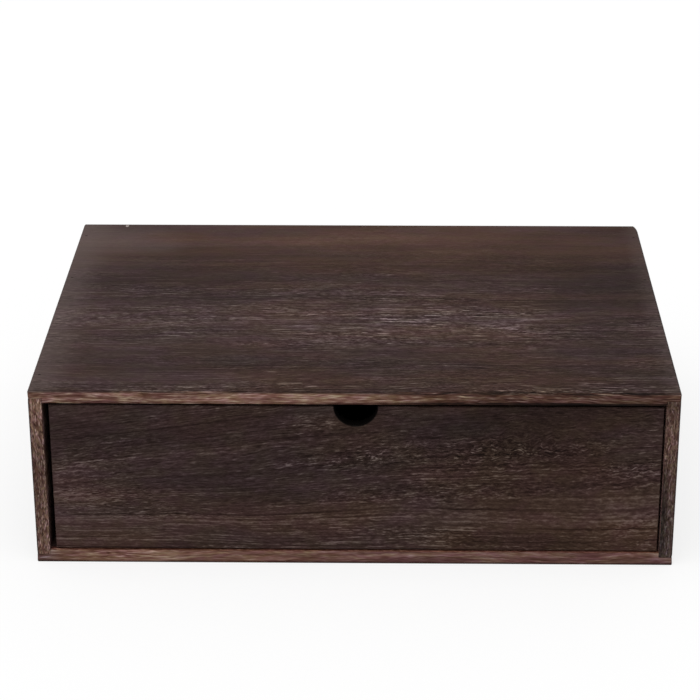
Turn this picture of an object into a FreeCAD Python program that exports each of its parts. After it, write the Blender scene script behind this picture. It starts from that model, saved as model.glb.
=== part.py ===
import FreeCAD
import Part
import Sketcher
import os

# A low desktop box of dark wood with one full-width drawer.
#
# The case is four boards and a back panel. The top and bottom boards run the whole width and are
# rebated under their ends for the side boards. The drawer slides on the case bottom, has no handle
# and is pulled by a half-round finger notch in the top edge of its front. Its sides are let into
# rebates behind the front, and its thin bottom slides from behind into grooves in the front and
# the sides, under the drawer back. Everything is glued and held by square, headless pins.
#
# Frame: X to the right, Y to the back, Z up, origin on the table under the middle of the case.

# Driving dimensions in millimetres: value and meaning.
SIZES = {
    "case_width": (330, "overall width"),
    "case_depth": (240, "overall depth"),
    "case_height": (98, "overall height"),
    "case_board": (7, "thickness of the top and bottom boards"),
    "side_board": (7, "thickness of the side boards"),
    "case_rebate": (2.5, "depth of the rebates that take the side boards"),
    "back_board": (5, "thickness of the back panel"),
    "arris_radius": (0.8, "rounding of the outer edges of the case"),
    "gap_left": (3, "gap left of the drawer front"),
    "gap_right": (1, "gap right of the drawer front"),
    "gap_above": (1.2, "gap above the drawer front"),
    "gap_below": (0.8, "gap below the drawer front"),
    "front_recess": (0.8, "how far the drawer front stands behind the case edge"),
    "rear_clearance": (1, "gap between the closed drawer and the back panel"),
    "running_clearance": (0.3, "gap between the drawer sides and the case bottom"),
    "kicker_clearance": (2.7, "gap between the drawer sides and the case top"),
    "front_board": (7, "thickness of the drawer front"),
    "drawer_side_board": (6, "thickness of the drawer sides"),
    "drawer_back_board": (6, "thickness of the drawer back"),
    "panel_board": (3, "thickness of the drawer bottom"),
    "front_rebate": (4, "depth of the rebates behind the ends of the drawer front"),
    "groove_depth": (3, "depth of the grooves for the drawer bottom"),
    "groove_height": (4, "height of the grooves above the lower edge of the drawer sides"),
    "groove_play": (0.2, "play of the drawer bottom in its grooves"),
    "notch_radius": (11, "radius of the finger notch"),
    "front_ease": (0.5, "rounding of the front edges of the drawer front and of the notch"),
    "rim_ease": (0.6, "rounding of the top edges of the drawer sides and back"),
    "pin_width": (1, "width of the square, headless pins"),
    "pin_length": (15, "length of the pins"),
    "pin_set": (0.2, "how far a pin is set below the surface"),
    "case_pin_inset": (20, "first and last pin of a side board, from the front and the back"),
    "back_pin_inset": (26, "first and last pin of the back panel, from the ends of the case"),
    "drawer_pin_inset": (12, "first and last pin of a drawer corner, from the edges of the side"),
    "panel_pin_inset": (30, "first and last pin of the drawer bottom, from the ends of the back"),
}

# Number of pins in each row.
CASE_PINS = 4
BACK_PINS = 3
DRAWER_PINS = 3
PANEL_PINS = 4

# Sizes that follow from the driving ones, as expressions on the sheet.
TONGUE = "(sizes.case_board - sizes.case_rebate)"
SIDE_HEIGHT = f"(sizes.case_height - 2 * {TONGUE})"
OPENING_WIDTH = "(sizes.case_width - 2 * sizes.side_board)"
OPENING_HEIGHT = "(sizes.case_height - 2 * sizes.case_board)"
DRAWER_WIDTH = f"({OPENING_WIDTH} - sizes.gap_left - sizes.gap_right)"
DRAWER_LENGTH = ("(sizes.case_depth - sizes.back_board - sizes.front_recess"
                 " - sizes.rear_clearance)")
FRONT_HEIGHT = f"({OPENING_HEIGHT} - sizes.gap_above - sizes.gap_below)"
FRONT_RISE = "(sizes.gap_below - sizes.running_clearance)"
FRONT_LIP = "(sizes.front_board - sizes.front_rebate)"
RIM_HEIGHT = f"({OPENING_HEIGHT} - sizes.running_clearance - sizes.kicker_clearance)"
GROOVE_TOP = "(sizes.groove_height + sizes.panel_board + sizes.groove_play)"
BACK_HEIGHT = f"({RIM_HEIGHT} - sizes.groove_height - sizes.panel_board)"
BACK_WIDTH = f"({DRAWER_WIDTH} - 2 * sizes.drawer_side_board)"
PANEL_REACH = "(sizes.groove_depth - sizes.groove_play)"

# The lower, left, front corner of the case and of the drawer: every piece is placed from one.
CASE_CORNER = ("-sizes.case_width / 2", "-sizes.case_depth / 2", "0")
DRAWER_CORNER = (
    "-sizes.case_width / 2 + sizes.side_board + sizes.gap_left",
    "-sizes.case_depth / 2 + sizes.front_recess",
    "sizes.case_board + sizes.running_clearance",
)

# Rotations for a board that is used turned over or turned round.
TURNED_OVER = FreeCAD.Rotation(FreeCAD.Vector(0, 1, 0), 180)
TURNED_ROUND = FreeCAD.Rotation(FreeCAD.Vector(0, 0, 1), 180)

# Lines closer than this lie on each other.
TOUCH = 0.001

doc = FreeCAD.newDocument("desk_drawer_box")


def make_sheet():
    """The spreadsheet of driving dimensions: name, value and meaning, one row each."""
    sheet = doc.addObject("Spreadsheet::Sheet", "sizes")
    for row, (name, (value, meaning)) in enumerate(SIZES.items(), start=1):
        sheet.set(f"A{row}", name)
        sheet.set(f"B{row}", str(value))
        sheet.set(f"C{row}", meaning)
        sheet.setAlias(f"B{row}", name)
    doc.recompute()


def new_body(label):
    return doc.addObject("PartDesign::Body", label)


def new_sketch(body, role, offset="0"):
    """An empty sketch on one of the body's own origin planes, moved along the plane's normal."""
    sketch = body.newObject("Sketcher::SketchObject", f"{body.Name}_sketch")
    plane = next(f for f in body.Origin.OriginFeatures if f.Role == role)
    sketch.AttachmentSupport = [(plane, "")]
    sketch.MapMode = "FlatFace"
    sketch.setExpression("AttachmentOffset.Base.z", offset)
    return sketch


def dimension(sketch, kind, geometry, point, expression):
    """Hold one coordinate of a point to an expression, or to the axis where it is 0."""
    if expression == "0":
        axis = -2 if kind == "DistanceX" else -1
        sketch.addConstraint(Sketcher.Constraint("PointOnObject", geometry, point, axis))
        return
    value = sketch.evalExpression(expression)
    index = sketch.addConstraint(Sketcher.Constraint(kind, geometry, point, value))
    sketch.setExpression(f"Constraints[{index}]", expression)


def draw_outline(sketch, corners):
    """A closed outline of level and upright lines, each held at its own distance from an axis."""
    points = [FreeCAD.Vector(*(float(sketch.evalExpression(value)) for value in corner), 0)
              for corner in corners]
    lines = [sketch.addGeometry(Part.LineSegment(start, end))
             for start, end in zip(points, points[1:] + points[:1])]
    for index, line in enumerate(lines):
        following = (index + 1) % len(lines)
        sketch.addConstraint(Sketcher.Constraint("Coincident", line, 2, lines[following], 1))
        (x, y), (next_x, _) = corners[index], corners[following]
        if x == next_x:
            sketch.addConstraint(Sketcher.Constraint("Vertical", line))
            dimension(sketch, "DistanceX", line, 1, x)
        else:
            sketch.addConstraint(Sketcher.Constraint("Horizontal", line))
            dimension(sketch, "DistanceY", line, 1, y)


def draw_square(sketch, centre, width):
    """A square about a centre."""
    left, right = (f"({centre[0]} {sign} {width} / 2)" for sign in "-+")
    lower, upper = (f"({centre[1]} {sign} {width} / 2)" for sign in "-+")
    draw_outline(sketch, [(left, lower), (right, lower), (right, upper), (left, upper)])


def draw_circle(sketch, centre, radius):
    """A circle, held by its centre and radius."""
    x, y = centre
    middle = FreeCAD.Vector(sketch.evalExpression(x), sketch.evalExpression(y), 0)
    circle = Part.Circle(middle, FreeCAD.Vector(0, 0, 1), sketch.evalExpression(radius))
    index = sketch.addGeometry(circle)
    dimension(sketch, "DistanceX", index, 3, x)
    dimension(sketch, "DistanceY", index, 3, y)
    held = sketch.addConstraint(Sketcher.Constraint("Radius", index, circle.Radius))
    sketch.setExpression(f"Constraints[{held}]", radius)


def pad(body, sketch, length):
    """Extrude a sketch towards the positive side of its plane."""
    feature = body.newObject("PartDesign::Pad", f"{body.Name}_pad")
    feature.Profile = sketch
    feature.Reversed = faces_minus_y(sketch)
    feature.setExpression("Length", length)
    doc.recompute()


def cut_through(body, sketch):
    """Cut a sketch right through the body, towards the positive side of its plane."""
    volume = body.Shape.Volume
    feature = body.newObject("PartDesign::Pocket", f"{body.Name}_cut")
    feature.Profile = sketch
    feature.Type = "ThroughAll"
    feature.Reversed = not faces_minus_y(sketch)
    doc.recompute()
    if body.Shape.Volume > volume - TOUCH:
        raise RuntimeError(f"{feature.Name} removes nothing from {body.Name}")


def faces_minus_y(sketch):
    """Whether the sketch's normal points to -Y, as on an XZ plane."""
    return sketch.AttachmentSupport[0][0].Role == "XZ_Plane"


def round_edges(body, radius, chosen):
    """Round the edges of the body whose bounding box passes the test."""
    doc.recompute()
    base = body.Tip
    names = [f"Edge{number}" for number, edge in enumerate(base.Shape.Edges, start=1)
             if chosen(edge.BoundBox)]
    feature = body.newObject("PartDesign::Fillet", f"{body.Name}_rounding")
    feature.Base = (base, names)
    feature.setExpression("Radius", radius)
    doc.recompute()


def place(piece, corner, x="0", y="0", z="0", turn=None):
    """Put a piece at a distance from a corner of the case or the drawer."""
    if turn:
        piece.Placement = FreeCAD.Placement(FreeCAD.Vector(), turn)
    for axis, start, distance in zip("xyz", corner, (x, y, z)):
        piece.setExpression(f".Placement.Base.{axis}", f"{start} + {distance}")


def spread(inset, length, count):
    """Places of a row of pins along a length, the first and last at the inset."""
    pitch = f"({length} - 2 * {inset}) / {count - 1}"
    return [f"{inset} + {index} * {pitch}" for index in range(count)]


def pin_rows(label, corner, role, starts, centres):
    """A group of pins square to a plane: one row for each distance of their ends from it."""
    body = new_body(label)
    for start in starts:
        sketch = new_sketch(body, role, start)
        for centre in centres:
            draw_square(sketch, centre, "sizes.pin_width")
        pad(body, sketch, "sizes.pin_length")
    place(body, corner)
    return body


def drilled(label, board, *pin_groups):
    """The finished board: each pin leaves its own hole in it."""
    pins = doc.addObject("Part::Compound", f"{label}_pins_through")
    pins.Links = pin_groups
    piece = doc.addObject("Part::Cut", f"{label}_drilled")
    piece.Base = board
    piece.Tool = pins
    piece.Label = label
    return piece


def rebated_board(name, turn, x, z):
    """Top or bottom board: full width, rebated at both ends of its inner face for the sides."""
    body = new_body(name)
    width, thick = "sizes.case_width", "sizes.case_board"
    inner_left, inner_right = "sizes.side_board", f"({width} - sizes.side_board)"
    sketch = new_sketch(body, "XZ_Plane")
    draw_outline(sketch, [
        (inner_left, "0"), (inner_right, "0"),
        (inner_right, "sizes.case_rebate"), (width, "sizes.case_rebate"),
        (width, thick), ("0", thick),
        ("0", "sizes.case_rebate"), (inner_left, "sizes.case_rebate"),
    ])
    pad(body, sketch, "sizes.case_depth")
    outer = sketch.evalExpression(thick)
    step = sketch.evalExpression("sizes.case_rebate")
    right = sketch.evalExpression(width)

    def is_outer_arris(box):
        on_face = box.ZMin > outer - TOUCH
        on_corner = box.ZMin > step - TOUCH and (box.XMax < TOUCH or box.XMin > right - TOUCH)
        upright = box.ZLength > TOUCH
        return on_face or (on_corner and upright)

    round_edges(body, "sizes.arris_radius", is_outer_arris)
    place(body, CASE_CORNER, x=x, z=z, turn=turn)
    return body


def side_board(name, turn, x, y):
    """Side board of the case: it stands between the tongues of the top and bottom boards."""
    body = new_body(name)
    thick, depth = "sizes.side_board", "sizes.case_depth"
    sketch = new_sketch(body, "XY_Plane")
    draw_outline(sketch, [("0", "0"), (thick, "0"), (thick, depth), ("0", depth)])
    pad(body, sketch, SIDE_HEIGHT)
    round_edges(body, "sizes.arris_radius",
                lambda box: box.XMax < TOUCH and box.ZLength > TOUCH)
    place(body, CASE_CORNER, x=x, y=y, z=TONGUE, turn=turn)
    return body


def back_panel(name):
    """Back of the case, set in flush between the four boards."""
    body = new_body(name)
    sketch = new_sketch(body, "XZ_Plane")
    draw_outline(sketch, [("0", "0"), (OPENING_WIDTH, "0"),
                          (OPENING_WIDTH, OPENING_HEIGHT), ("0", OPENING_HEIGHT)])
    pad(body, sketch, "sizes.back_board")
    place(body, CASE_CORNER, x="sizes.side_board", y="(sizes.case_depth - sizes.back_board)",
          z="sizes.case_board")
    return body


def drawer_front(name):
    """Drawer front: rebated ends, a groove for the drawer bottom and the finger notch."""
    body = new_body(name)
    width, thick = DRAWER_WIDTH, "sizes.front_board"
    inner_left, inner_right = "sizes.drawer_side_board", f"({width} - sizes.drawer_side_board)"
    plan = new_sketch(body, "XY_Plane")
    draw_outline(plan, [
        ("0", "0"), (width, "0"),
        (width, FRONT_LIP), (inner_right, FRONT_LIP),
        (inner_right, thick), (inner_left, thick),
        (inner_left, FRONT_LIP), ("0", FRONT_LIP),
    ])
    pad(body, plan, FRONT_HEIGHT)

    groove = new_sketch(body, "YZ_Plane")
    floor, ceiling = f"(sizes.groove_height - {FRONT_RISE})", f"({GROOVE_TOP} - {FRONT_RISE})"
    deepest = f"({thick} - sizes.groove_depth)"
    draw_outline(groove, [(deepest, floor), (thick, floor), (thick, ceiling), (deepest, ceiling)])
    cut_through(body, groove)

    notch = new_sketch(body, "XZ_Plane")
    draw_circle(notch, (f"({width} / 2)", FRONT_HEIGHT), "sizes.notch_radius")
    cut_through(body, notch)

    def is_eased(box):
        on_front_face = box.YMax < TOUCH
        curve_of_notch = box.XLength > TOUCH and box.ZLength > TOUCH
        return on_front_face or curve_of_notch

    round_edges(body, "sizes.front_ease", is_eased)
    place(body, DRAWER_CORNER, z=FRONT_RISE)
    return body


def drawer_side(name, turn, x, y):
    """Drawer side: it runs on its lower edge and has a groove for the drawer bottom inside."""
    body = new_body(name)
    thick = "sizes.drawer_side_board"
    deepest = f"({thick} - sizes.groove_depth)"
    sketch = new_sketch(body, "XZ_Plane")
    draw_outline(sketch, [
        ("0", "0"), (thick, "0"),
        (thick, "sizes.groove_height"), (deepest, "sizes.groove_height"),
        (deepest, GROOVE_TOP), (thick, GROOVE_TOP),
        (thick, RIM_HEIGHT), ("0", RIM_HEIGHT),
    ])
    pad(body, sketch, f"({DRAWER_LENGTH} - {FRONT_LIP})")
    round_rim(body)
    place(body, DRAWER_CORNER, x=x, y=y, turn=turn)
    return body


def drawer_back(name):
    """Drawer back: it stands on the drawer bottom, between the sides."""
    body = new_body(name)
    sketch = new_sketch(body, "XZ_Plane")
    draw_outline(sketch, [("0", "0"), (BACK_WIDTH, "0"),
                          (BACK_WIDTH, BACK_HEIGHT), ("0", BACK_HEIGHT)])
    pad(body, sketch, "sizes.drawer_back_board")
    round_rim(body)
    place(body, DRAWER_CORNER, x="sizes.drawer_side_board",
          y=f"({DRAWER_LENGTH} - sizes.drawer_back_board)",
          z="(sizes.groove_height + sizes.panel_board)")
    return body


def round_rim(body):
    """Round the two long edges of a drawer board's top."""
    top = body.Shape.BoundBox.ZMax
    length = max(body.Shape.BoundBox.XLength, body.Shape.BoundBox.YLength)
    round_edges(body, "sizes.rim_ease",
                lambda box: box.ZMin > top - TOUCH and box.DiagonalLength > length - TOUCH)


def drawer_bottom(name):
    """Drawer bottom: a thin panel held in the grooves, flush behind with the drawer back."""
    body = new_body(name)
    width = f"({BACK_WIDTH} + 2 * {PANEL_REACH})"
    length = f"({DRAWER_LENGTH} - sizes.front_board + {PANEL_REACH})"
    sketch = new_sketch(body, "XY_Plane")
    draw_outline(sketch, [("0", "0"), (width, "0"), (width, length), ("0", length)])
    pad(body, sketch, "sizes.panel_board")
    place(body, DRAWER_CORNER, x=f"(sizes.drawer_side_board - {PANEL_REACH})",
          y=f"(sizes.front_board - {PANEL_REACH})", z="sizes.groove_height")
    return body


def make_case():
    """The case: its pins first, then the boards that they are driven into."""
    joint_pins = [(x, y)
                  for x in ("sizes.side_board / 2", "(sizes.case_width - sizes.side_board / 2)")
                  for y in spread("sizes.case_pin_inset", "sizes.case_depth", CASE_PINS)]
    back_line = "(sizes.case_depth - sizes.back_board / 2)"
    back_pins = [(x, back_line)
                 for x in spread("sizes.back_pin_inset", "sizes.case_width", BACK_PINS)]
    from_below = "sizes.pin_set"
    from_above = "(sizes.case_height - sizes.pin_set - sizes.pin_length)"

    top_pins = pin_rows("case_top_pins", CASE_CORNER, "XY_Plane", [from_above], joint_pins)
    bottom_pins = pin_rows("case_bottom_pins", CASE_CORNER, "XY_Plane", [from_below], joint_pins)
    panel_pins = pin_rows("back_panel_pins", CASE_CORNER, "XY_Plane",
                          [from_below, from_above], back_pins)

    top = rebated_board("top_board", None, "0", "(sizes.case_height - sizes.case_board)")
    bottom = rebated_board("bottom_board", TURNED_OVER, "sizes.case_width", "sizes.case_board")
    left = side_board("left_board", None, "0", "0")
    right = side_board("right_board", TURNED_ROUND, "sizes.case_width", "sizes.case_depth")
    return [
        top_pins, bottom_pins, panel_pins,
        drilled("case_top", top, top_pins, panel_pins),
        drilled("case_bottom", bottom, bottom_pins, panel_pins),
        drilled("case_left_side", left, top_pins, bottom_pins),
        drilled("case_right_side", right, top_pins, bottom_pins),
        drilled("case_back", back_panel("back_board"), panel_pins),
    ]


def make_drawer():
    """The drawer: its pins first, then the boards that they are driven into."""
    heights = spread("sizes.drawer_pin_inset", RIM_HEIGHT, DRAWER_PINS)
    front_line = f"({FRONT_LIP} + sizes.front_rebate / 2)"
    back_line = f"({DRAWER_LENGTH} - sizes.drawer_back_board / 2)"
    from_left = "sizes.pin_set"
    from_right = f"({DRAWER_WIDTH} - sizes.pin_set - sizes.pin_length)"
    under_panel = "(sizes.groove_height + sizes.pin_set)"

    front_pins = pin_rows("drawer_front_pins", DRAWER_CORNER, "YZ_Plane",
                          [from_left, from_right], [(front_line, z) for z in heights])
    back_pins = pin_rows("drawer_back_pins", DRAWER_CORNER, "YZ_Plane",
                         [from_left, from_right], [(back_line, z) for z in heights])
    panel_places = spread("sizes.panel_pin_inset", DRAWER_WIDTH, PANEL_PINS)
    panel_pins = pin_rows("drawer_bottom_pins", DRAWER_CORNER, "XY_Plane",
                          [under_panel], [(x, back_line) for x in panel_places])

    left = drawer_side("drawer_left_board", None, "0", FRONT_LIP)
    right = drawer_side("drawer_right_board", TURNED_ROUND, DRAWER_WIDTH, DRAWER_LENGTH)
    return [
        front_pins, back_pins, panel_pins,
        drilled("drawer_front", drawer_front("drawer_front_board"), front_pins),
        drilled("drawer_left_side", left, front_pins, back_pins),
        drilled("drawer_right_side", right, front_pins, back_pins),
        drilled("drawer_back", drawer_back("drawer_back_board"), back_pins, panel_pins),
        drilled("drawer_bottom", drawer_bottom("drawer_bottom_board"), panel_pins),
    ]


def check(pieces):
    """Stop at a failed object, or at a piece whose shape is missing or invalid."""
    for item in doc.Objects:
        if {"Invalid", "Error"} & set(item.State):
            raise RuntimeError(f"{item.Name} failed: {item.State}")
    for piece in pieces:
        if piece.Shape.isNull() or not piece.Shape.isValid():
            raise RuntimeError(f"{piece.Label} has no valid shape")


def export(pieces):
    os.makedirs("parts", exist_ok=True)
    for piece in pieces:
        piece.Shape.exportStep(f"parts/{piece.Label}.step")
        print(f"{piece.Label}: {len(piece.Shape.Solids)} solids, {piece.Shape.Volume:.1f} mm3")


make_sheet()
finished = make_case() + make_drawer()
doc.recompute()
check(finished)
export(finished)
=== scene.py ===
"""A desktop box of dark stained wood with one drawer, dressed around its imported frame."""

import itertools
import math

import bmesh
import bpy
from mathutils import Matrix, Vector


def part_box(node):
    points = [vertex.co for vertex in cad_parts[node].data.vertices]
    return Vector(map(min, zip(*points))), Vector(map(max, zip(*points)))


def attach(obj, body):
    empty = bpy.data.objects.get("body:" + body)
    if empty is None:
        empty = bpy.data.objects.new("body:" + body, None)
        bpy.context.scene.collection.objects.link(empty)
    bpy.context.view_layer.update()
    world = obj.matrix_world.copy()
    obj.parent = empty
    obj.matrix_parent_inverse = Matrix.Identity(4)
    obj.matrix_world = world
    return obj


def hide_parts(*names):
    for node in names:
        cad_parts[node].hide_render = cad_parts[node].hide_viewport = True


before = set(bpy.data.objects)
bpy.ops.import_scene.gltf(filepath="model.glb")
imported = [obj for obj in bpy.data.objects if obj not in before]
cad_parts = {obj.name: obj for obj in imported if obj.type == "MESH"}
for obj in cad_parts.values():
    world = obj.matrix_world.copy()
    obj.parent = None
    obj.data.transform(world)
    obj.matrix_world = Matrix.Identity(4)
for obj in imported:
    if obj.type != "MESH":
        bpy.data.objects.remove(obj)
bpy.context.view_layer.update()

bl_info = {
    "name": "Stained Desk Drawer Box",
    "version": (1, 0, 0),
    "blender": (4, 5, 0),
    "location": "View3D > Sidebar > Desk Box",
    "description": "Boards, grain, pins and studio of a dark wooden desk drawer box",
    "category": "Object",
}

MM = 0.001
IN_MM = (1 / MM,) * 3
X, Y, Z = 0, 1, 2
WHITE = (1.0, 1.0, 1.0)

# Faces and edges closer than this count as lying in one plane.
TOUCH = 0.02 * MM
# Faces that meet at less than this angle look smooth.
SMOOTH_ANGLE = math.radians(35)

TOP_LOW, TOP_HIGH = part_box("case_top")
BOTTOM_LOW, BOTTOM_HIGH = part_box("case_bottom")
FRONT_LOW, FRONT_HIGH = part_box("drawer_front")
LEFT_LOW, LEFT_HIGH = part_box("case_left_side")
RIGHT_LOW, RIGHT_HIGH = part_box("case_right_side")
PANEL_LOW, PANEL_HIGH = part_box("drawer_bottom")


def linear(red, green, blue):
    """A screen colour, 0 to 255, as the linear colour that a shader takes."""
    shares = (channel / 255 for channel in (red, green, blue))
    return tuple(s / 12.92 if s <= 0.04045 else ((s + 0.055) / 1.055) ** 2.4 for s in shares)


# ---------- settings


def size_setting(name, description, size):
    return bpy.props.FloatProperty(name=name, description=description, default=size,
                                   unit="LENGTH")


def tone_setting(name, description, colour):
    return bpy.props.FloatVectorProperty(name=name, description=description, default=colour,
                                         subtype="COLOR")


class DeskBoxFinish(bpy.types.PropertyGroup):
    """Sizes and colours of the finish."""

    arris: size_setting("Arris", "Rounding of the case's outer edges", 0.8 * MM)
    foot_arris: size_setting("Foot arris", "Rounding of the edges on the desk", 0.35 * MM)
    front_ease: size_setting("Front ease", "Rounding of the drawer's edges", 0.5 * MM)
    joint_ease: size_setting("Joint ease", "Rounding of the edges in a joint", 0.18 * MM)
    worn_corner: size_setting("Worn corner", "Length of the top's rounded corner", 9 * MM)
    worn_share: bpy.props.FloatProperty(
        name="Worn share", description="Its width as a share of its length", default=0.27)
    wear: size_setting("Wear", "How unevenly arrises are rubbed down", 0.35 * MM)
    wear_pitch: size_setting("Wear pitch", "Distance between the worn places", 4 * MM)
    notch_radius: size_setting("Notch radius", "Radius of the finger notch", 11 * MM)
    groove_depth: size_setting("Groove depth", "How far the bottom is let in", 3 * MM)
    groove_play: size_setting("Groove play", "Height left free in a groove", 0.2 * MM)
    dent_radius: size_setting("Dent radius", "Radius of the dents over pins", 0.7 * MM)
    dent_depth: size_setting("Dent depth", "Depth of the dents over pins", 0.3 * MM)
    case_tone: tone_setting("Case tone", "The case boards", linear(62, 47.4, 43))
    drawer_tone: tone_setting("Drawer tone", "The drawer front", linear(51, 39, 35))
    edge_tone: tone_setting("Edge tone", "The sanded front edges", linear(96, 69, 60))
    inside_tone: tone_setting("Inside tone", "The drawer's inside", linear(62, 48, 43))
    panel_tone: tone_setting("Panel tone", "The drawer bottom", linear(84, 65, 55))
    floor_tone: tone_setting("Floor tone", "The floor", (0.93, 0.93, 0.93))


# ---------- shader expressions


class Socket:
    """A node's output, on which Python's operators add Math nodes."""

    def __init__(self, shader, output):
        self.shader = shader
        self.output = output

    def maths(self, operation, *values):
        return self.shader.add("ShaderNodeMath", dict(enumerate(values)), operation=operation)

    def __add__(self, other):
        return self.maths("ADD", self, other)

    __radd__ = __add__

    def __sub__(self, other):
        return self.maths("SUBTRACT", self, other)

    def __rsub__(self, other):
        return self.maths("SUBTRACT", other, self)

    def __mul__(self, other):
        return self.maths("MULTIPLY", self, other)

    __rmul__ = __mul__

    def __truediv__(self, other):
        return self.maths("DIVIDE", self, other)

    def exponent(self):
        return self.maths("EXPONENT", self)


class Shader:
    """The node tree of a material or of the sky."""

    def __init__(self, owner, surface="Principled BSDF"):
        owner.use_nodes = True
        self.owner = owner
        self.tree = owner.node_tree
        self.surface = self.tree.nodes[surface]

    def add(self, kind, inputs, output=0, stops=None, **settings):
        """Add a node: its settings first, then a value or a link for each input."""
        node = self.tree.nodes.new(kind)
        for name, value in settings.items():
            setattr(node, name, value)
        if stops:
            self.set_stops(node.color_ramp, stops)
        for name, value in inputs.items():
            self.feed(node.inputs[name], value)
        return Socket(self, node.outputs[output])

    def set_stops(self, ramp, stops):
        """Give a ramp its stops: pairs of a position and a grey level."""
        ramp.interpolation = "B_SPLINE"
        while len(ramp.elements) < len(stops):
            ramp.elements.new(0.5)
        for element, (position, level) in zip(ramp.elements, stops):
            element.position = position
            element.color = (level, level, level, 1)

    def feed(self, target, value):
        """Link an input to another node, or set its value."""
        if isinstance(value, Socket):
            self.tree.links.new(value.output, target)
        elif target.type == "RGBA":
            target.default_value = (*value, 1)
        else:
            target.default_value = value

    def vector(self, operation, *values):
        return self.add("ShaderNodeVectorMath", dict(enumerate(values)), operation=operation)

    def scaled(self, vector, factor):
        return self.add("ShaderNodeVectorMath", {0: vector, "Scale": factor},
                        operation="SCALE")

    def distance(self, vector):
        """How long a vector is."""
        return self.add("ShaderNodeVectorMath", {0: vector}, output=1, operation="LENGTH")

    def mix(self, share, first, second, blend="MIX"):
        """Mix two colours."""
        return self.add("ShaderNodeMix", {0: share, 6: first, 7: second}, output=2,
                        data_type="RGBA", blend_type=blend)

    def tinted(self, colour, tint):
        """Multiply two colours."""
        return self.mix(1.0, colour, tint, blend="MULTIPLY")

    def smooth(self, value, low, high, start=0.0, end=1.0):
        """Rise smoothly from start at low to end at high."""
        return self.add("ShaderNodeMapRange",
                        {"Value": value, "From Min": low, "From Max": high,
                         "To Min": start, "To Max": end},
                        interpolation_type="SMOOTHSTEP")

    def noise(self, place, sizes, detail=0.0, output=0):
        """Noise around 0.5 that has a size in each direction. Output 1 is its colour."""
        return self.add("ShaderNodeTexNoise",
                        {"Vector": self.vector("DIVIDE", place, sizes), "Scale": 1.0,
                         "Detail": detail}, output=output)

    def whiten(self, share, glow, strength, output):
        """Let the camera, and nothing else, see a share of white glow over the surface."""
        sight = self.add("ShaderNodeLightPath", {}, output="Is Camera Ray")
        white = self.add(glow, {"Color": WHITE, "Strength": strength})
        seen = self.add("ShaderNodeMixShader",
                        {0: sight * share, 1: Socket(self, self.surface.outputs[0]), 2: white})
        self.feed(self.tree.nodes[output].inputs["Surface"], seen)

    def finish(self, **inputs):
        """Feed the surface's own sockets."""
        for name, value in inputs.items():
            self.feed(self.surface.inputs[name.replace("_", " ")], value)
        return self.owner


def new_material(name):
    return Shader(bpy.data.materials.new(name))


# ---------- wood

# The marks of the grain: their length and thickness in millimetres, how much finer detail
# they hold, and how strongly they lighten and darken the wood.
GRAIN = (
    (60, 2.8, 2, 0.55),
    (24, 1.0, 1, 0.90),
    (9.0, 0.80, 1, 1.00),
    (4.2, 0.62, 0, 1.25),
    (2.2, 0.48, 0, 1.10),
    (1.1, 0.28, 0, 0.80),
)
# How much wider those marks are along the growth rings than across them.
RING_SPREAD = 1.3
# How far a soft spot reaches into a board, in millimetres.
SPOT_DEPTH = 50


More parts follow.
